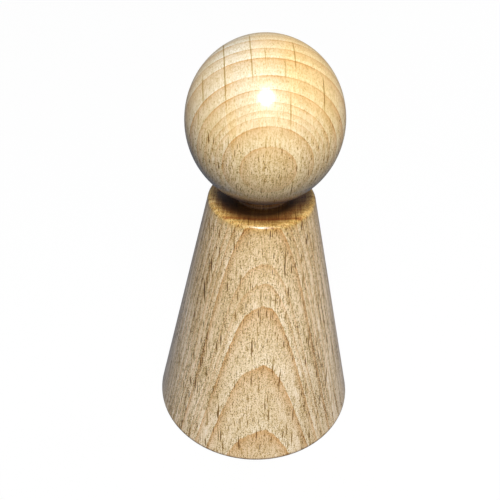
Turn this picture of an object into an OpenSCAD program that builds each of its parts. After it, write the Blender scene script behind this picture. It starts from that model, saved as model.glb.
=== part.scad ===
// Turned beech peg doll: an oval ball head on a conical body with a short turned neck.
// Head and body are bored on the axis and glued over one fluted dowel.
// The origin is the centre of the flat base, +Z points up through the head. Millimetres.

/* [Head] */
// Width of the head, across the grain
head_w = 30; // [25:0.2:34]
// Height of the head from pole to pole, before its seat is cut flat
head_h = 32; // [27:0.2:38]

/* [Body] */
// Height of the cone, from the base to the top face round the neck
body_h = 57.2; // [44:0.2:70]
// Diameter of the base, at the sharp corner that its edge round replaces
base_d = 45.4; // [34:0.2:56]
// Diameter of the top face, at the sharp corner that the shoulder round replaces
top_d = 21.4; // [18:0.2:27]
// Radius of the round at the shoulder
shoulder_r = 1.1; // [0.6:0.1:2]
// Radius of the sanded round at the foot
foot_r = 0.5; // [0.2:0.1:1.5]

/* [Neck] */
// Diameter of the neck and of the flat seat under the head
neck_d = 10; // [9:0.2:13]
// Height of the neck between the top face and the seat
neck_h = 1.7; // [1.2:0.1:4]
// Radius of the hollow where the neck meets the top face
cove_r = 0.5; // [0.3:0.1:1]

/* [Dowel joint] */
// Diameter of the dowel over its ridges
dowel_d = 6; // [5:0.2:7]
// Length of the dowel
dowel_l = 30; // [24:1:36]
// Length of the dowel that stands in the head
dowel_in_head = 12.5; // [9:0.5:16]
// Chamfer at both ends of the dowel
dowel_chamfer = 0.8; // [0.4:0.1:1.2]
// Number of glue flutes round the dowel
flutes = 18; // [12:1:20]
// Radius of the cutter that forms a flute
flute_r = 0.35; // [0.25:0.05:0.4]
// Depth of a flute
flute_depth = 0.3; // [0.2:0.05:0.35]
// Gap between the dowel's ridges and the wall of its bore, filled by glue
glue_gap = 0.05; // [0.03:0.01:0.1]
// Free depth past the dowel's upper end, where spare glue collects
bore_relief = 1; // [0.5:0.1:2]
// Countersink at the mouth of each bore
mouth_chamfer = 0.4; // [0.2:0.1:0.8]

/* [Hidden] */
$fn = 128;
// Straight steps that draw each small round of the body's outline
round_steps = 8;
// How far a cutter runs past the face that it opens
overrun = 0.5;

beech = "#d8b581";
dowel_beech = "#dcc096";

head_rad = head_w / 2;
neck_rad = neck_d / 2;
base_rad = base_d / 2;
top_rad = top_d / 2;
seat_z = body_h + neck_h;
// The seat lies where the oval is as wide as the neck, which sets how deep the head sits.
head_z = seat_z + head_h / 2 * sqrt(1 - pow(neck_d / head_w, 2));

bore_rad = dowel_d / 2 + glue_gap;
dowel_foot_z = seat_z + dowel_in_head - dowel_l;
head_bore_l = dowel_in_head + bore_relief;
body_bore_l = seat_z - dowel_foot_z;

// Angle between the cone's side and its base
side_angle = atan2(body_h, base_rad - top_rad);
// The rounds' centres, each as far inside its corner as its two faces ask
foot_centre = [base_rad - foot_r / tan(side_angle / 2), foot_r];
shoulder_centre = [top_rad - shoulder_r * tan(side_angle / 2), body_h - shoulder_r];
cove_centre = [neck_rad + cove_r, body_h + cove_r];

// Points on the round with centre c and radius r, from angle a to angle b.
function arc(c, r, a, b) =
    [for (i = [0:round_steps]) let (t = a + (b - a) * i / round_steps) c + r * [cos(t), sin(t)]];

// Half outline of the cone and its neck, from the axis out along the base and back over the neck.
body_outline = concat(
    [[0, 0]],
    arc(foot_centre, foot_r, -90, 90 - side_angle),
    arc(shoulder_centre, shoulder_r, 90 - side_angle, 90),
    arc(cove_centre, cove_r, 270, 180),
    [[neck_rad, seat_z], [0, seat_z]]
);

// Half outline of the dowel with its chamfered ends, from its foot up.
dowel_outline = let (r = dowel_d / 2, c = dowel_chamfer)
    [[0, 0], [r - c, 0], [r, c], [r, dowel_l - c], [r - c, dowel_l], [0, dowel_l]];

// A bore on the axis that starts at z = 0 and runs up by len, with a countersunk mouth.
module bore(len) {
    translate([0, 0, -overrun]) cylinder(r = bore_rad, h = len + overrun);
    translate([0, 0, -overrun])
        cylinder(r1 = bore_rad + mouth_chamfer + overrun, r2 = bore_rad, h = mouth_chamfer + overrun);
}

// Half of the head's oval, turned about the axis to make the ball.
module head_profile() {
    intersection() {
        scale([1, head_h / head_w]) circle(r = head_rad);
        translate([0, -head_h]) square([head_w, 2 * head_h]);
    }
}

// Oval ball, cut flat underneath where it sits on the neck, and bored up the grain.
module head() {
    color(beech)
    difference() {
        translate([0, 0, head_z]) rotate_extrude() head_profile();
        translate([0, 0, seat_z - head_h]) cylinder(r = head_rad, h = head_h);
        translate([0, 0, seat_z]) bore(head_bore_l);
    }
}

// Turned cone with its neck, bored down the axis from the seat.
module body() {
    color(beech)
    difference() {
        rotate_extrude() polygon(body_outline);
        translate([0, 0, seat_z]) mirror([0, 0, 1]) bore(body_bore_l);
    }
}

// Fluted dowel, whose foot stands on the floor of the body's bore.
module dowel() {
    flute_ring_rad = dowel_d / 2 + flute_r - flute_depth;
    color(dowel_beech)
    translate([0, 0, dowel_foot_z])
    difference() {
        rotate_extrude() polygon(dowel_outline);
        for (i = [0:flutes - 1])
            rotate(i * 360 / flutes)
            translate([flute_ring_rad, 0, -overrun])
            cylinder(r = flute_r, h = dowel_l + 2 * overrun, $fn = 24);
    }
}

head();
body();
dowel();
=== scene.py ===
import math
import random
import bpy
from mathutils import Matrix, Vector


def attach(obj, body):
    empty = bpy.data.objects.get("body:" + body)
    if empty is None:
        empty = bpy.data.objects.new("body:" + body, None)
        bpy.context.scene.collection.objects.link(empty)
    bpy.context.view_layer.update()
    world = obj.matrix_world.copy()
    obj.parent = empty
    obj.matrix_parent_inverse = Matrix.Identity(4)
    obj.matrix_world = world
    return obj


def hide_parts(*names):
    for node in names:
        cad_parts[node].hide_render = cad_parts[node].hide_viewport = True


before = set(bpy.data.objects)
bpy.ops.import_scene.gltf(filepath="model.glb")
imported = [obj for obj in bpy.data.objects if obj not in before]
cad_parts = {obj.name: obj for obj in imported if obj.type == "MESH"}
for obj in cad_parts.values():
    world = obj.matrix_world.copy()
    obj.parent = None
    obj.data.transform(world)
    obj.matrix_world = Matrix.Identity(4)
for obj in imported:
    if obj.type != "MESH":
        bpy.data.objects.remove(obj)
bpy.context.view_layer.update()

# Sizes are written in millimetres and become metres through mm.
mm = 0.001


# Helpers for node trees

def feed(tree, value, socket):
    # links a socket to a socket, and sets anything else as a plain value
    if isinstance(value, bpy.types.NodeSocket):
        tree.links.new(value, socket)
    else:
        socket.default_value = value


def addNode(tree, kind, values=None, **settings):
    node = tree.nodes.new(kind)
    for name, setting in settings.items():
        setattr(node, name, setting)
    for key, value in (values or {}).items():
        feed(tree, value, node.inputs[key])
    return node


def calc(tree, operation, *terms):
    return addNode(tree, "ShaderNodeMath", dict(enumerate(terms)), operation=operation).outputs[0]


def plus(tree, first, second):
    return calc(tree, "ADD", first, second)


def minus(tree, first, second):
    return calc(tree, "SUBTRACT", first, second)


def times(tree, first, second):
    return calc(tree, "MULTIPLY", first, second)


def vectorCalc(tree, operation, first, second):
    return addNode(tree, "ShaderNodeVectorMath", {0: first, 1: second}, operation=operation).outputs[0]


def joinAxes(tree, *parts):
    return addNode(tree, "ShaderNodeCombineXYZ", dict(enumerate(parts))).outputs[0]


def splitColour(tree, colour):
    return addNode(tree, "ShaderNodeSeparateColor", {0: colour}).outputs


def stretch(tree, vector, sizes):
    # divides a place by the size of one repeat along each axis
    return vectorCalc(tree, "MULTIPLY", vector, [1 / size for size in sizes])


def remap(tree, value, fromLow, fromHigh, toLow=0.0, toHigh=1.0, easing="LINEAR"):
    values = {"Value": value, "From Min": fromLow, "From Max": fromHigh, "To Min": toLow, "To Max": toHigh}
    return addNode(tree, "ShaderNodeMapRange", values, interpolation_type=easing).outputs[0]


def clamped(tree, value):
    return addNode(tree, "ShaderNodeClamp", {"Value": value}).outputs[0]


def blendColour(tree, share, first, second, mode="MIX"):
    node = addNode(tree, "ShaderNodeMix", data_type="RGBA", blend_type=mode)
    feed(tree, share, node.inputs["Factor"])
    colours = [socket for socket in node.inputs if socket.type == "RGBA"]
    feed(tree, first, colours[0])
    feed(tree, second, colours[1])
    return [socket for socket in node.outputs if socket.type == "RGBA"][0]


def tinted(tree, share, colour, tint):
    return blendColour(tree, share, colour, blendColour(tree, 1.0, colour, tint, "MULTIPLY"))


def noise(tree, vector, detail=2.0, roughness=0.5):
    values = {"Vector": vector, "Scale": 1.0, "Detail": detail, "Roughness": roughness}
    return addNode(tree, "ShaderNodeTexNoise", values).outputs


def cellNoise(tree, vector):
    values = {"Vector": vector, "Scale": 1.0, "Randomness": 1.0}
    return addNode(tree, "ShaderNodeTexVoronoi", values, feature="F1").outputs


def centred(tree, value, amount):
    # a noise value moved to swing about zero by the amount
    return times(tree, minus(tree, value, 0.5), amount)


def curveNode(tree, value, points):
    # a float curve through the points given, straight between them
    node = addNode(tree, "ShaderNodeFloatCurve", {"Value": value})
    curve = node.mapping.curves[0]
    while len(curve.points) < len(points):
        curve.points.new(0.5, 0.5)
    for spot, (across, height) in zip(curve.points, points):
        spot.location = (across, height)
        spot.handle_type = "VECTOR"
    node.mapping.use_clip = False
    node.mapping.update()
    return node.outputs[0]


# Beech, as solid wood in object coordinates, so the grain runs through every cut face

def fibreBend(tree, place, look):
    # slow wander of the fibres, which bends rings and rays alike
    wander = noise(tree, stretch(tree, place, look["wanderSize"]), detail=1.0)["Color"]
    wander = vectorCalc(tree, "SUBTRACT", wander, (0.5, 0.5, 0.5))
    wander = vectorCalc(tree, "MULTIPLY", wander, look["wander"])
    return vectorCalc(tree, "ADD", place, wander)


def ringDepth(tree, x, y, z, look):
    # depth of a point in the stack of growth rings, which faces -Y and bends more towards its heart
    height = minus(tree, z, look["midHeight"])
    depth = minus(tree, times(tree, x, look["leanX"]), y)
    depth = plus(tree, depth, times(tree, height, look["leanZ"]))
    inwards = calc(tree, "MAXIMUM", minus(tree, look["bendFrom"], depth), 0.0)
    bend = plus(tree, times(tree, inwards, look["bendGain"]), look["bend"])
    squared = times(tree, x, x)
    depth = plus(tree, depth, times(tree, squared, bend))
    # a small drop in the middle rounds the tips of the arches
    tip = calc(tree, "EXPONENT", times(tree, squared, -1 / look["tipWidth"] ** 2))
    depth = minus(tree, depth, times(tree, tip, look["tipDrop"]))
    # higher up the rings curve back
    above = calc(tree, "MAXIMUM", minus(tree, z, look["crownHeight"]), 0.0)
    return minus(tree, depth, times(tree, times(tree, above, above), look["crown"]))


def ringCurves(tree, depth, look):
    # returns how far a point is through its growth ring, and how dark this ring's line and the next one are
    lines = sorted(look["ringLines"])
    rng = random.Random(look["seed"])
    while lines[0][0] > look["deepest"]:
        behind = lines[0][0] - rng.uniform(*look["ringWidths"])
        lines.insert(0, (behind, rng.uniform(*look["ringStrengths"])))
    low, high = lines[0][0], lines[-1][0]
    count = float(len(lines) - 1)
    places = [((place - low) / (high - low), i / count) for i, (place, strength) in enumerate(lines)]
    darkness = [(i / count, strength) for i, (place, strength) in enumerate(lines)]
    phase = times(tree, curveNode(tree, remap(tree, depth, low, high), places), count)
    ring = calc(tree, "FLOOR", phase)
    strength = curveNode(tree, calc(tree, "DIVIDE", ring, count), darkness)
    ahead = curveNode(tree, calc(tree, "DIVIDE", plus(tree, ring, 1.0), count), darkness)
    return calc(tree, "FRACT", phase), strength, ahead


def ringBands(tree, place, depth, z, look):
    # returns how strongly dark late wood and the pale band before it show
    phase, strength, ahead = ringCurves(tree, depth, look)
    late = times(tree, curveNode(tree, phase, look["ringShape"]), strength)
    pale = times(tree, curveNode(tree, phase, look["paleShape"]), ahead)
    patchy = noise(tree, stretch(tree, place, look["patchSize"]), detail=1.0)[0]
    patchy = remap(tree, patchy, *look["patchEdges"], look["patchLow"], 1.0)
    clear = times(tree, patchy, remap(tree, z, *look["fadeHeights"], look["fadeLow"], 1.0))
    return times(tree, late, clear), times(tree, pale, clear)


def fibreShade(tree, place, grain, layered, x, z, look):
    # returns the shade of the fibre, whose dark side goes further than its pale side, and what it is made of
    fibre = noise(tree, stretch(tree, grain, look["fibreSize"]), detail=2.0, roughness=0.55)[0]
    speckle = noise(tree, stretch(tree, place, look["speckleSize"]), detail=1.0, roughness=0.6)[0]
    pores = cellNoise(tree, stretch(tree, grain, look["poreSize"]))["Distance"]
    pores = remap(tree, pores, *look["poreEdges"], easing="SMOOTHSTEP")
    swing = centred(tree, fibre, look["fibreDark"])
    swing = plus(tree, swing, centred(tree, speckle, look["speckleDark"]))
    swing = minus(tree, swing, times(tree, pores, look["poreDark"]))
    swing = times(tree, swing, remap(tree, z, *look["grainHeights"], 1.0, look["grainTop"]))
    if "streakSize" in look:
        # fine lines that follow the rings where these are cut square, on both flanks
        streaks = noise(tree, stretch(tree, layered, look["streakSize"]), detail=3.0, roughness=0.85)[0]
        flanks = remap(tree, calc(tree, "ABSOLUTE", x), *look["streakReach"])
        swing = plus(tree, swing, times(tree, centred(tree, streaks, look["streakDark"]), flanks))
    swing = calc(tree, "EXPONENT", times(tree, swing, -look["darkBias"]))
    shade = minus(tree, 1.0 + 1.0 / look["darkBias"], calc(tree, "DIVIDE", swing, look["darkBias"]))
    return shade, fibre, speckle, pores


def rayMarks(tree, place, mark):
    # thin upright lens-shaped sheets that run front to back: dashes on the front, long lines on end grain
    softness = 0.06   # how gradually marks give way to bare wood
    least = 0.6       # smallest and palest mark, as a share of the largest and darkest
    core = 0.5        # share of a mark that is fully dark
    cells = cellNoise(tree, stretch(tree, place, mark["size"]))
    chance = splitColour(tree, cells["Color"])
    kept = remap(tree, chance[0], mark["keep"], mark["keep"] - softness)
    radius = remap(tree, chance[1], 0.0, 1.0, mark["radius"] * least, mark["radius"])
    marks = remap(tree, calc(tree, "DIVIDE", cells["Distance"], radius), 1.0, core, easing="SMOOTHSTEP")
    dark = remap(tree, chance[2], 0.0, 1.0, mark["dark"] * least, mark["dark"])
    return times(tree, times(tree, marks, kept), dark)


def longRay(tree, across, depth, width, place, start, end, dark):
    # one ray that cuts through several rings on the end grain, with tapering ends
    core = 0.35 * width
    taper = 1.5
    off = calc(tree, "ABSOLUTE", minus(tree, across, place))
    mark = remap(tree, off, width, core, easing="SMOOTHSTEP")
    mark = times(tree, mark, remap(tree, depth, start, start + taper))
    mark = times(tree, mark, remap(tree, depth, end, end - taper))
    return times(tree, mark, dark)


def allRays(tree, x, y, z, grain, across, depth, look):
    marks = 0.0
    for mark in look["rays"]:
        there = times(tree, rayMarks(tree, grain, mark), remap(tree, z, *mark["heights"]))
        marks = calc(tree, "MAXIMUM", marks, there)
    # where a sheet lies flat in the surface it shows as a faint fleck, not as a dark dash
    nearAxis = 0.1   # keeps the axis itself from dividing by nothing
    spread = calc(tree, "SQRT", plus(tree, times(tree, x, x), times(tree, y, y)))
    sidewards = calc(tree, "DIVIDE", calc(tree, "ABSOLUTE", x), calc(tree, "MAXIMUM", spread, nearAxis))
    marks = times(tree, marks, remap(tree, sidewards, *look["flatRays"], 1.0, look["flatRayDark"]))
    for ray in look.get("longRays", []):
        there = longRay(tree, across, depth, look["longRayWidth"], *ray)
        there = times(tree, there, remap(tree, z, *look["longRayHeights"]))
        marks = calc(tree, "MAXIMUM", marks, there)
    return marks


def earlyColour(tree, x, z, cloud, block, look):
    # the lower colour turns into the upper one with height, and less so away from one place across
    away = calc(tree, "ABSOLUTE", minus(tree, x, look["tonePlace"]))
    span = minus(tree, 1 - look["toneLow"], times(tree, away, look["toneFade"]))
    tone = times(tree, remap(tree, z, *look["toneHeights"]), span)
    tone = plus(tree, tone, look["toneLow"])
    tone = plus(tree, tone, centred(tree, cloud, look["toneWander"]))
    tone = plus(tree, tone, centred(tree, block, look["blockTone"]))
    return blendColour(tree, clamped(tree, tone), look["earlyWood"], look["earlyTop"])


def soakedEndGrain(tree, place, depth, colour, paintedLook):
    # painted shade: a golden tint on the round, painted shadow of the head on the flat, darkest in the corner
    x, y, z = addNode(tree, "ShaderNodeSeparateXYZ", {0: place}).outputs
    flat = joinAxes(tree, x, y)
    radius = addNode(tree, "ShaderNodeVectorMath", {0: flat}, operation="LENGTH").outputs["Value"]
    streaks = noise(tree, stretch(tree, place, paintedLook["streakSize"]), detail=1.0)[0]
    colour = tinted(tree, remap(tree, z, *paintedLook["roundHeights"]), colour, paintedLook["roundTint"])
    share = remap(tree, radius, *paintedLook["flatRadii"])
    share = plus(tree, share, centred(tree, streaks, paintedLook["streakDark"]))
    share = times(tree, share, remap(tree, z, *paintedLook["flatHeights"]))
    colour = tinted(tree, clamped(tree, share), colour, paintedLook["flatShadowTint"])
    # late wood drinks the most, so one ring shows as a wide arc over the shoulder
    off = calc(tree, "ABSOLUTE", minus(tree, depth, paintedLook["arcDepth"]))
    share = times(tree, remap(tree, off, *paintedLook["arcWidths"]), remap(tree, z, *paintedLook["arcHeights"]))
    colour = tinted(tree, share, colour, paintedLook["arcTint"])
    # painted shade in the corner by the neck, wider on the left where the head's shadow falls
    uneven = plus(tree, radius, times(tree, x, paintedLook["shadowLean"]))
    share = remap(tree, uneven, *paintedLook["cornerRadii"])
    share = times(tree, share, remap(tree, z, *paintedLook["cornerHeights"]))
    share = times(tree, share, remap(tree, radius, *paintedLook["coveRadii"], paintedLook["coveShare"], 1.0))
    colour = tinted(tree, share, colour, paintedLook["cornerShadeTint"])
    # painted shade: the round at the foot is darkened, where shade falls along the base
    return tinted(tree, remap(tree, z, *paintedLook["footHeights"]), colour, paintedLook["footShadeTint"])


def beech(name, look):
    material = bpy.data.materials.new(name)
    material.use_nodes = True
    tree = material.node_tree
    tree.nodes.clear()
    place = addNode(tree, "ShaderNodeTexCoord").outputs["Object"]
    place = addNode(tree, "ShaderNodeVectorMath", {0: place, "Scale": 1 / mm}, operation="SCALE").outputs[0]
    x, y, z = addNode(tree, "ShaderNodeSeparateXYZ", {0: fibreBend(tree, place, look)}).outputs

    # rays stand square to the rings, so their sheets lean a little
    across = plus(tree, x, times(tree, y, look["rayLean"]))
    grain = joinAxes(tree, across, y, z)

    # each bundle of fibres sits a little off its ring
    depth = ringDepth(tree, x, y, z, look)
    bundles = noise(tree, stretch(tree, place, look["bundleSize"]), detail=2.0, roughness=0.8)[0]
    ragged = plus(tree, depth, centred(tree, bundles, look["ragged"]))
    layered = joinAxes(tree, x, ragged, z)

    # faint growth lines inside a ring, blocks of tone between rays, and slow changes of tone
    shade, fibre, speckle, pores = fibreShade(tree, place, grain, layered, x, z, look)
    fineRings = noise(tree, stretch(tree, layered, look["fineRingSize"]), detail=2.0)[0]
    block = splitColour(tree, cellNoise(tree, stretch(tree, grain, look["blockSize"]))["Color"])
    cloud = splitColour(tree, noise(tree, stretch(tree, place, look["cloudSize"]), detail=2.0)["Color"])
    shade = plus(tree, shade, centred(tree, fineRings, look["fineRingDark"]))
    shade = plus(tree, shade, centred(tree, block[0], look["blockDark"]))
    shade = plus(tree, shade, centred(tree, cloud[0], look["cloudDark"]))
    marks = allRays(tree, x, y, z, grain, across, depth, look)
    shade = times(tree, shade, minus(tree, 1.0, times(tree, marks, look["rayDark"])))
    shade = calc(tree, "MAXIMUM", shade, look["darkest"])

    late, pale = ringBands(tree, place, ragged, z, look)
    colour = earlyColour(tree, x, z, cloud[1], block[1], look)
    colour = tinted(tree, pale, colour, look["paleTint"])
    colour = tinted(tree, late, colour, look["lateTint"])
    # darker wood is also redder wood
    green = calc(tree, "POWER", shade, look["warmGreen"])
    blue = calc(tree, "POWER", shade, look["warmBlue"])
    warmed = addNode(tree, "ShaderNodeCombineColor", {0: shade, 1: green, 2: blue}).outputs[0]
    colour = blendColour(tree, 1.0, colour, warmed, "MULTIPLY")
    # painted shade on the top and foot of the body, with one ring arc over the shoulder
    if "shadeAndShoulderArc" in look:
        colour = soakedEndGrain(tree, place, ragged, colour, look["shadeAndShoulderArc"])
    # painted shade under the head, darker and bluer
    if "underShadeHeights" in look:
        colour = tinted(tree, remap(tree, z, *look["underShadeHeights"]), colour, look["underShadeTint"])

    grooves = plus(tree, times(tree, marks, look["rayGroove"]), times(tree, pores, look["poreGroove"]))
    grooves = plus(tree, grooves, times(tree, fibre, look["fibreRidge"]))
    bump = addNode(tree, "ShaderNodeBump", {
        "Strength": look["bump"], "Distance": look["bumpDepth"] * mm, "Height": grooves})
    smoothest, roughest = look["roughness"]
    roughness = remap(tree, speckle, *look["speckleEdges"], smoothest, roughest)
    skin = addNode(tree, "ShaderNodeBsdfPrincipled", {
        "Base Color": colour, "Roughness": roughness, "Normal": bump.outputs[0],
        "Coat Weight": look["coat"], "Coat Roughness": look["coatRoughness"], "IOR": 1.5})
    output = addNode(tree, "ShaderNodeOutputMaterial")
    tree.links.new(skin.outputs[0], output.inputs[0])
    return material


# Wood that all pieces share unless their own values say otherwise. Colours are linear. A pair of heights,
# radii or widths says where an effect starts and where it is full. A Size is one repeat of a noise along
# X, Y and Z.
sharedWood = {
    "earlyWood": (0.85, 0.65, 0.365, 1),   # pale wood low down
    "earlyTop": (0.85, 0.625, 0.38, 1),    # pale wood high up
    "toneHeights": (-20.0, 80.0),
    "toneWander": 3.0,
    "toneLow": 0.0,       # share of the upper colour that already shows low down
    "tonePlace": 0.0,     # where across the piece the upper colour is strongest
    "toneFade": 0.0,      # how much of it is lost on either side, per mm
    "lateTint": (0.75, 0.50, 0.23, 1),
    "paleTint": (1.09, 1.17, 1.32, 1),
    "warmGreen": 1.32,
    "warmBlue": 2.35,
    "darkest": 0.15,

    # growth rings: each piece lists its dark lines as (depth, darkness), and the ones behind are random
    "seed": 4,
    "deepest": -26.0,
    "ringWidths": (1.1, 2.2),
    "ringStrengths": (0.35, 0.8),
    "bendFrom": 9.0,
    "bendGain": 0.0,
    "crownHeight": 35.0,
    "crown": 0.0,
    "tipWidth": 2.4,
    "tipDrop": 0.0,
    # how dark the late wood is through one ring, from its sharp edge on
    "ringShape": [(0.0, 1.0), (0.04, 1.0), (0.07, 0.7), (0.15, 0.55), (0.23, 0.3), (0.36, 0.12), (0.5, 0.0),
                  (1.0, 0.0)],
    # the wood is palest just before the next line
    "paleShape": [(0.0, 0.0), (0.55, 0.0), (0.8, 0.5), (0.93, 1.0), (1.0, 1.0)],
    "wander": (0.5, 0.06, 0.3),
    "wanderSize": (9, 9, 22),
    "bundleSize": (0.9, 0.9, 9),
    "ragged": 0.12,
    "patchSize": (3.5, 3.5, 9),
    "patchEdges": (0.35, 0.65),
    "patchLow": 0.6,
    "fadeHeights": (0.0, 1.0),
    "fadeLow": 1.0,
    "fineRingSize": (12.5, 0.35, 50),
    "fineRingDark": 0.2,

    # fibre, speckle and pores
    "fibreSize": (0.17, 0.4, 9.0),
    "fibreDark": 1.1,
    "speckleSize": (0.17, 0.17, 0.26),
    "speckleDark": 1.7,
    "poreSize": (0.26, 0.5, 1.2),
    "poreEdges": (0.3, 0.12),
    "poreDark": 0.3,
    "grainHeights": (0.0, 1.0),
    "grainTop": 1.0,
    "darkBias": 3.0,      # how much further the dark side goes
    "blockSize": (2.6, 40, 40),
    "blockDark": 0.04,
    "blockTone": 0.3,
    "cloudSize": (9, 9, 20),
    "cloudDark": 0.12,

    # rays: each kind has the size of its cells, the share of cells that hold a mark, the mark's radius,
    # its darkness and the heights between which it fades in
    "rays": [
        {"size": (0.5, 8, 8), "keep": 0.24, "radius": 0.4, "dark": 1.0, "heights": (-2, -1)},
        {"size": (0.42, 6, 4), "keep": 0.36, "radius": 0.4, "dark": 1.0, "heights": (-2, -1)},
    ],
    "rayLean": 0.05,
    "rayDark": 0.9,
    "flatRays": (0.8, 0.96),
    "flatRayDark": 0.25,

    # relief and varnish
    "rayGroove": -0.6,
    "poreGroove": -0.3,
    "fibreRidge": 0.35,
    "bump": 0.25,
    "bumpDepth": 0.1,
    "roughness": (0.37, 0.47),
    "speckleEdges": (0.2, 0.8),   # speckle values where the varnish is smoothest and roughest
    "coat": 0.6,
    "coatRoughness": 0.15,
}


# Turned pieces: an outline drawn as (radius, height) and swept round the axis by Geometry Nodes

def newTree(name, sizes):
    tree = bpy.data.node_groups.new(name, "GeometryNodeTree")
    tree.interface.new_socket("Geometry", in_out="OUTPUT", socket_type="NodeSocketGeometry")
    for label, value in sizes.items():
        kind = "NodeSocketInt" if isinstance(value, int) else "NodeSocketFloat"
        tree.interface.new_socket(label, in_out="INPUT", socket_type=kind)
    tree.interface.new_socket("finish", in_out="INPUT", socket_type="NodeSocketMaterial")
    return tree, addNode(tree, "NodeGroupInput").outputs


def cornerCurve(tree, corners, steps):
    # a line through corners of (radius, height, round), each corner rounded by its own radius
    index = addNode(tree, "GeometryNodeInputIndex").outputs[0]
    places = addNode(tree, "GeometryNodeIndexSwitch", {"Index": index}, data_type="VECTOR")
    rounds = addNode(tree, "GeometryNodeIndexSwitch", {"Index": index}, data_type="FLOAT")
    for number, (radius, height, rounding) in enumerate(corners):
        if number > 1:   # a new switch already has two items
            places.index_switch_items.new()
            rounds.index_switch_items.new()
        feed(tree, joinAxes(tree, radius, height), places.inputs[str(number)])
        feed(tree, rounding, rounds.inputs[str(number)])
    points = addNode(tree, "GeometryNodePoints", {"Count": len(corners), "Position": places.outputs[0]})
    line = addNode(tree, "GeometryNodePointsToCurves", {0: points.outputs[0]})
    rounded = addNode(tree, "GeometryNodeFilletCurve", {
        "Curve": line.outputs[0], "Count": steps, "Radius": rounds.outputs[0]}, mode="POLY")
    return rounded.outputs[0]


def sweepRound(tree, outlines, segments, finish):
    # sweeps the outlines round the Z axis, welds the seams and poles, and keeps real corners sharp
    pathRadius = 1 * mm
    weldDistance = 0.001 * mm
    sharpAngle = math.radians(35)
    joined = addNode(tree, "GeometryNodeJoinGeometry")
    for outline in outlines:
        tree.links.new(outline, joined.inputs[0])
    placed = addNode(tree, "GeometryNodeTransform", {
        "Geometry": joined.outputs[0], "Rotation": (math.pi, 0, 0), "Translation": (-pathRadius, 0, 0)})
    path = addNode(tree, "GeometryNodeCurvePrimitiveCircle", {"Resolution": segments, "Radius": pathRadius})
    swept = addNode(tree, "GeometryNodeCurveToMesh", {
        "Curve": path.outputs[0], "Profile Curve": placed.outputs[0]})
    welded = addNode(tree, "GeometryNodeMergeByDistance", {
        "Geometry": swept.outputs[0], "Distance": weldDistance})
    smooth = addNode(tree, "GeometryNodeSetShadeSmooth", {"Geometry": welded.outputs[0]})
    angle = addNode(tree, "GeometryNodeInputMeshEdgeAngle").outputs["Unsigned Angle"]
    corner = addNode(tree, "FunctionNodeCompare", {0: angle, 1: sharpAngle}, operation="GREATER_THAN")
    sharp = addNode(tree, "GeometryNodeSetShadeSmooth", {
        "Geometry": smooth.outputs[0], "Selection": corner.outputs[0], "Shade Smooth": False}, domain="EDGE")
    real = addNode(tree, "GeometryNodeRealizeInstances", {"Geometry": sharp.outputs[0]})
    coated = addNode(tree, "GeometryNodeSetMaterial", {"Geometry": real.outputs[0], "Material": finish})
    output = addNode(tree, "NodeGroupOutput")
    tree.links.new(coated.outputs[0], output.inputs[0])


def makePiece(name, tree, sizes, finish):
    # runs the tree with its sizes and leaves a plain mesh
    piece = bpy.data.objects.new(name, bpy.data.meshes.new(name))
    bpy.context.collection.objects.link(piece)
    turning = piece.modifiers.new("turning", "NODES")
    turning.node_group = tree
    for item in tree.interface.items_tree:
        if item.in_out == "INPUT":
            value = finish if item.name == "finish" else sizes[item.name]
            turning[item.identifier] = value * mm if isinstance(value, float) else value
    piece.modifiers.new("evenShading", "WEIGHTED_NORMAL").keep_sharp = True
    made = bpy.data.meshes.new_from_object(piece.evaluated_get(bpy.context.evaluated_depsgraph_get()))
    piece.modifiers.clear()
    piece.data = made
    made.name = name
    return piece


bodyValues = {
    "sizes": {
        "baseRadius": 22.7,
        "topRadius": 10.7,
        "bodyHeight": 57.2,
        "neckRadius": 5.0,
        "seatHeight": 58.9,
        "footRound": 0.5,
        "shoulderRound": 1.1,
        "coveRound": 0.5,
        "easedEdge": 0.15,
        "boreRadius": 3.05,
        "boreFloor": 41.4,
        "mouthWidth": 0.4,
        "segments": 256,
        "roundSteps": 12,
    },
    "wood": {
        **sharedWood,
        "earlyWood": (0.90, 0.685, 0.40, 1),
        "earlyTop": (0.74, 0.525, 0.26, 1),
        "toneHeights": (30.0, 60.0),
        "toneWander": 1.6,
        "seed": 9,
        "midHeight": 30.0,
        "leanX": 0.04,
        "leanZ": 0.141,
        "bend": 0.0108,
        "crown": 0.0014,
        "tipDrop": 0.09,
        "ringLines": [(4.35, 0.9), (5.75, 1.0), (7.05, 0.9), (8.5, 1.0), (9.5, 0.7), (10.5, 1.0),
                      (11.4, 0.8), (12.25, 1.0), (12.88, 0.8), (13.5, 1.0), (14.76, 0.55), (15.18, 0.6),
                      (15.6, 0.95), (16.67, 0.85), (17.86, 0.75), (19.5, 0.6)],
        "streakSize": (8.0, 0.8, 28.0),
        "streakDark": 1.9,
        "streakReach": (3.0, 12.0),   # how far from the middle the streaks start and are full
        "coat": 0.9,
        "coatRoughness": 0.2,
        # painted shade on the top and foot of the body, with one ring arc over the shoulder
        "shadeAndShoulderArc": {
            "roundHeights": (55.2, 56.9),
            "roundTint": (0.86, 0.76, 0.45, 1),
            "flatHeights": (56.95, 57.15),
            "flatRadii": (10.5, 8.5),
            "flatShadowTint": (0.36, 0.235, 0.19, 1),
            "streakSize": (0.3, 5, 5),
            "streakDark": 1.2,
            "arcDepth": 11.3,
            "arcWidths": (0.5, 0.2),
            "arcHeights": (56.6, 56.9),
            "arcTint": (0.66, 0.45, 0.34, 1),
            "cornerHeights": (57.7, 57.25),
            "cornerRadii": (8.6, 7.0),
            "shadowLean": 0.13,       # the dark corner is wider on the left
            "coveRadii": (5.2, 6.6),
            "coveShare": 0.5,
            "cornerShadeTint": (0.22, 0.20, 0.22, 1),
            "footHeights": (0.95, 0.5),
            "footShadeTint": (0.33, 0.28, 0.27, 1),
        },
    },
}


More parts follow.
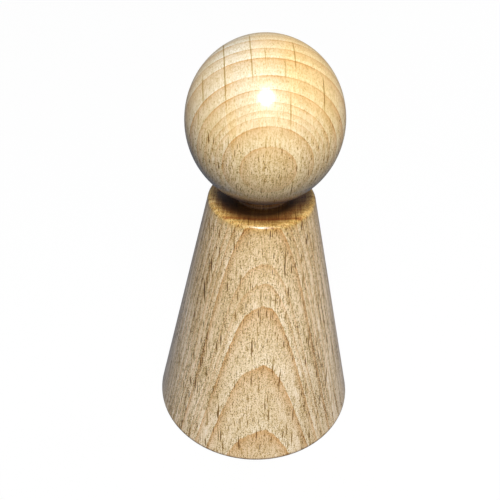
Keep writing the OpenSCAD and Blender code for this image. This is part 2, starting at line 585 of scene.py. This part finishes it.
def turnedBody(values):
    sizes = values["sizes"]
    tree, size = newTree("turnedBody", sizes)
    mouthRadius = plus(tree, size["boreRadius"], size["mouthWidth"])
    mouthHeight = minus(tree, size["seatHeight"], size["mouthWidth"])
    outline = cornerCurve(tree, [
        (0.0, size["boreFloor"], 0.0),
        (size["boreRadius"], size["boreFloor"], 0.0),
        (size["boreRadius"], mouthHeight, 0.0),
        (mouthRadius, size["seatHeight"], 0.0),
        (size["neckRadius"], size["seatHeight"], size["easedEdge"]),
        (size["neckRadius"], size["bodyHeight"], size["coveRound"]),
        (size["topRadius"], size["bodyHeight"], size["shoulderRound"]),
        (size["baseRadius"], 0.0, size["footRound"]),
        (0.0, 0.0, 0.0),
    ], size["roundSteps"])
    sweepRound(tree, [outline], size["segments"], size["finish"])
    return makePiece("turned_body", tree, sizes, beech("bodyBeech", values["wood"]))


headValues = {
    "sizes": {
        "headWidth": 30.0,
        "headHeight": 32.0,
        "neckRadius": 5.0,
        "seatHeight": 58.9,
        "easedEdge": 0.15,
        "boreRadius": 3.05,
        "boreDepth": 13.5,
        "mouthWidth": 0.4,
        "segments": 256,
        "arcSteps": 128,
        "roundSteps": 6,
    },
    "wood": {
        **sharedWood,
        "earlyWood": (0.90, 0.65, 0.31, 1),
        "earlyTop": (0.83, 0.725, 0.54, 1),
        "toneHeights": (79.5, 88.0),
        "toneWander": 0.8,
        "toneLow": 0.15,
        "tonePlace": -5.5,
        "toneFade": 0.1,
        "lateTint": (0.75, 0.51, 0.26, 1),
        "paleTint": (1.05, 1.11, 1.22, 1),
        # painted shade: the underside of the head is darker and bluer, where shade falls under it
        "underShadeHeights": (66.6, 63.2),
        "underShadeTint": (0.28, 0.29, 0.46, 1),
        "midHeight": 74.0,
        "leanX": 0.06,
        "leanZ": -0.101,
        "bend": 0.0032,
        "bendGain": 0.0008,
        "ringLines": [(-7.4, 0.9), (-5.4, 0.8), (-3.6, 0.7), (-1.5, 1.0), (1.3, 0.8), (3.65, 0.9),
                      (6.95, 0.9), (9.0, 1.0), (10.6, 0.7), (11.5, 0.55), (12.15, 0.55), (12.95, 0.85),
                      (14.35, 0.7), (15.3, 0.4)],
        "ringShape": [(0.0, 1.0), (0.06, 1.0), (0.11, 0.6), (0.25, 0.42), (0.45, 0.22), (0.65, 0.08),
                      (0.8, 0.0), (1.0, 0.0)],
        "fadeHeights": (63.0, 72.0),
        "fadeLow": 0.15,
        "fibreSize": (0.24, 0.7, 1.8),
        "speckleSize": (0.22, 0.3, 0.3),
        "speckleDark": 1.0,
        "grainHeights": (74.0, 80.0),
        "grainTop": 0.45,
        "blockSize": (2.4, 40, 40),
        "blockDark": 0.06,
        "blockTone": 0.25,
        "rayLean": 0.1,
        "rays": [
            {"size": (0.45, 8, 8), "keep": 0.16, "radius": 0.4, "dark": 1.0, "heights": (75, 72)},
            {"size": (0.4, 5, 3.5), "keep": 0.24, "radius": 0.4, "dark": 0.9, "heights": (81, 76)},
        ],
        # rays long enough to see across the rings on top: place across, depth from and to, how dark
        "longRays": [(-7.8, -6.0, 9.5, 0.5), (-3.25, -5.0, 8.0, 0.45), (-0.9, 0.5, 5.0, 0.3),
                     (2.35, 3.0, 8.0, 0.3), (4.2, -2.5, 6.0, 0.45), (3.05, 9.0, 13.5, 0.5),
                     (9.2, 4.0, 9.5, 0.6), (-11.5, 2.0, 8.0, 0.4)],
        "longRayWidth": 0.15,
        "longRayHeights": (74.0, 76.0),
    },
}


def turnedHead(values):
    sizes = values["sizes"]
    tree, size = newTree("turnedHead", sizes)
    halfWidth = calc(tree, "DIVIDE", size["headWidth"], 2.0)
    halfHeight = calc(tree, "DIVIDE", size["headHeight"], 2.0)
    tallness = calc(tree, "DIVIDE", size["headHeight"], size["headWidth"])

    # the seat lies where the oval is as wide as the neck, which sets how high the oval's middle is
    seatCosine = calc(tree, "DIVIDE", size["neckRadius"], halfWidth)
    seatSine = calc(tree, "SQRT", minus(tree, 1.0, calc(tree, "POWER", seatCosine, 2.0)))
    centreHeight = plus(tree, size["seatHeight"], times(tree, seatSine, halfHeight))

    # the oval ends a little further out, where the eased edge begins
    cutRadius = plus(tree, size["neckRadius"], size["easedEdge"])
    cutAngle = calc(tree, "ARCCOSINE", calc(tree, "DIVIDE", cutRadius, halfWidth))
    cutDrop = times(tree, times(tree, calc(tree, "SINE", cutAngle), halfWidth), tallness)
    cutHeight = minus(tree, centreHeight, cutDrop)
    arc = addNode(tree, "GeometryNodeCurveArc", {
        "Resolution": size["arcSteps"], "Radius": halfWidth, "Start Angle": math.pi / 2,
        "Sweep Angle": times(tree, plus(tree, cutAngle, math.pi / 2), -1.0)})
    oval = addNode(tree, "GeometryNodeTransform", {
        "Geometry": arc.outputs[0], "Scale": joinAxes(tree, 1.0, tallness, 1.0),
        "Translation": joinAxes(tree, 0.0, centreHeight)})

    mouthRadius = plus(tree, size["boreRadius"], size["mouthWidth"])
    mouthHeight = plus(tree, size["seatHeight"], size["mouthWidth"])
    boreEnd = plus(tree, size["seatHeight"], size["boreDepth"])
    seatEdge = minus(tree, size["neckRadius"], size["easedEdge"])
    underside = cornerCurve(tree, [
        (cutRadius, cutHeight, 0.0),
        (seatEdge, size["seatHeight"], size["easedEdge"]),
        (mouthRadius, size["seatHeight"], 0.0),
        (size["boreRadius"], mouthHeight, 0.0),
        (size["boreRadius"], boreEnd, 0.0),
        (0.0, boreEnd, 0.0),
    ], size["roundSteps"])
    sweepRound(tree, [oval.outputs[0], underside], size["segments"], size["finish"])
    return makePiece("turned_head", tree, sizes, beech("headBeech", values["wood"]))


print("turning the body and the head")
body = turnedBody(bodyValues)
head = turnedHead(headValues)
for piece, node in ((body, "body"), (head, "head")):
    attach(piece, "root")
    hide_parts(node)


dowelWood = {
    **sharedWood,
    "midHeight": 55.0,
    "leanX": 0.3,
    "leanZ": 0.0,
    "bend": 0.0,
    "ringLines": [(-4.0, 0.6), (-2.6, 0.7), (-1.1, 0.6), (0.3, 0.7), (1.8, 0.6), (3.1, 0.7), (4.4, 0.6)],
    "deepest": -5.0,
    "roughness": (0.60, 0.70),
    "coat": 0.0,
}

print("finishing the dowel")
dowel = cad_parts["dowel"]
dowel.data.materials.clear()
dowel.data.materials.append(beech("dowelBeech", dowelWood))


# Floor, lamps and camera

stageLook = {
    "floorSize": 6000.0,
    "floorDrop": 0.01,                        # keeps the floor and the base from lying in one plane
    "floorForLight": (0.02, 0.04, 0.09, 1),   # what the floor throws back up
    "paperColour": (0.9, 0.9, 0.9, 1),
    "whiteShare": 0.94,                       # share of plain white in what the camera sees of the floor
    "mirroredShare": 0.15,                    # share of the white that shows in the varnish
    "worldColour": (0.5, 0.75, 1.0, 1),
    "worldStrength": 0.05,
}


def shownWhite(tree, look):
    # how white the room shows: fully to the camera, less in the varnish, and not at all as light on the wood
    seen = addNode(tree, "ShaderNodeLightPath").outputs
    mirrored = calc(tree, "MAXIMUM", seen["Is Glossy Ray"], seen["Is Transmission Ray"])
    return calc(tree, "MAXIMUM", seen["Is Camera Ray"], times(tree, mirrored, look["mirroredShare"]))


def whiteFloor(look):
    mesh = bpy.data.meshes.new("floor")
    half = look["floorSize"] * mm / 2
    corners = [(-half, -half, 0), (half, -half, 0), (half, half, 0), (-half, half, 0)]
    mesh.from_pydata(corners, [], [(0, 1, 2, 3)])
    floor = bpy.data.objects.new("floor", mesh)
    floor.location.z = -look["floorDrop"] * mm
    bpy.context.collection.objects.link(floor)
    material = bpy.data.materials.new("floorPaper")
    material.use_nodes = True
    tree = material.node_tree
    tree.nodes.clear()
    paper = addNode(tree, "ShaderNodeBsdfDiffuse", {"Color": look["paperColour"]}).outputs[0]
    white = addNode(tree, "ShaderNodeEmission", {"Color": (1, 1, 1, 1), "Strength": 1.0}).outputs[0]
    shown = addNode(tree, "ShaderNodeMixShader", {0: look["whiteShare"], 1: paper, 2: white}).outputs[0]
    lit = addNode(tree, "ShaderNodeBsdfDiffuse", {"Color": look["floorForLight"]}).outputs[0]
    both = addNode(tree, "ShaderNodeMixShader", {0: shownWhite(tree, look), 1: lit, 2: shown})
    output = addNode(tree, "ShaderNodeOutputMaterial")
    tree.links.new(both.outputs[0], output.inputs[0])
    mesh.materials.append(material)


def whiteWorld(look):
    world = bpy.data.worlds.new("studio")
    bpy.context.scene.world = world
    world.use_nodes = True
    tree = world.node_tree
    tree.nodes.clear()
    light = {"Color": look["worldColour"], "Strength": look["worldStrength"]}
    room = addNode(tree, "ShaderNodeBackground", light).outputs[0]
    white = addNode(tree, "ShaderNodeBackground", {"Color": (1, 1, 1, 1), "Strength": 1.0}).outputs[0]
    both = addNode(tree, "ShaderNodeMixShader", {0: shownWhite(tree, look), 1: room, 2: white})
    output = addNode(tree, "ShaderNodeOutputWorld")
    tree.links.new(both.outputs[0], output.inputs[0])


# Each lamp is a disc aimed at a point on the axis. It stands that many degrees round from the front and above
# the point. Only the key lamp shows as a glint in the varnish.
lamps = {
    "keyLamp": {"aim": 74, "azimuth": 1, "elevation": 53, "distance": 600, "size": 220, "power": 4.3,
                "glint": True},
    "sideLamp": {"aim": 50, "azimuth": 130, "elevation": 8, "distance": 500, "size": 250, "power": 1.1,
                 "glint": False},
    "backLamp": {"aim": 50, "azimuth": -155, "elevation": 40, "distance": 500, "size": 400, "power": 0.7,
                 "glint": False},
    "fillLamp": {"aim": 50, "azimuth": 22, "elevation": 14, "distance": 500, "size": 300, "power": 0.5,
                 "glint": False},
}


def addLamp(name, lamp):
    light = bpy.data.lights.new(name, "AREA")
    light.shape = "DISK"
    light.size = lamp["size"] * mm
    light.energy = lamp["power"]
    placed = bpy.data.objects.new(name, light)
    placed.visible_glossy = lamp["glint"]
    bpy.context.collection.objects.link(placed)
    turn, rise = math.radians(lamp["azimuth"]), math.radians(lamp["elevation"])
    away = Vector((math.sin(turn) * math.cos(rise), -math.cos(turn) * math.cos(rise), math.sin(rise)))
    placed.location = Vector((0, 0, lamp["aim"] * mm)) + away * (lamp["distance"] * mm)
    placed.rotation_euler = away.to_track_quat("Z", "Y").to_euler()


cameraView = {
    "elevation": 39.39,      # how far the camera looks down
    "distance": 160.8,
    "aimX": -2.01,
    "aimZ": 42.71,
    "roll": 1.87,
    "focal": 54.5,
    "sensor": 36.0,
}


def addCamera(view):
    camera = bpy.data.objects.new("camera", bpy.data.cameras.new("camera"))
    bpy.context.collection.objects.link(camera)
    camera.data.sensor_width = view["sensor"]
    camera.data.lens = view["focal"]
    camera.data.clip_start = 1 * mm
    rise = math.radians(view["elevation"])
    reach = view["distance"] * mm
    aim = Vector((view["aimX"], 0, view["aimZ"])) * mm
    spot = Vector((0, -reach * math.cos(rise), view["aimZ"] * mm + reach * math.sin(rise)))
    back = (spot - aim).normalized()
    right = Vector((0, 0, 1)).cross(back).normalized()
    top = back.cross(right)
    turn = math.radians(view["roll"])
    tiltedRight = right * math.cos(turn) + top * math.sin(turn)
    tiltedTop = top * math.cos(turn) - right * math.sin(turn)
    axes = Matrix((tiltedRight, tiltedTop, back)).transposed().to_4x4()
    camera.matrix_world = Matrix.Translation(spot) @ axes
    bpy.context.scene.camera = camera


print("setting the stage")
whiteFloor(stageLook)
whiteWorld(stageLook)
for name, lamp in lamps.items():
    addLamp(name, lamp)
addCamera(cameraView)
bpy.context.scene.view_settings.view_transform = "Standard"
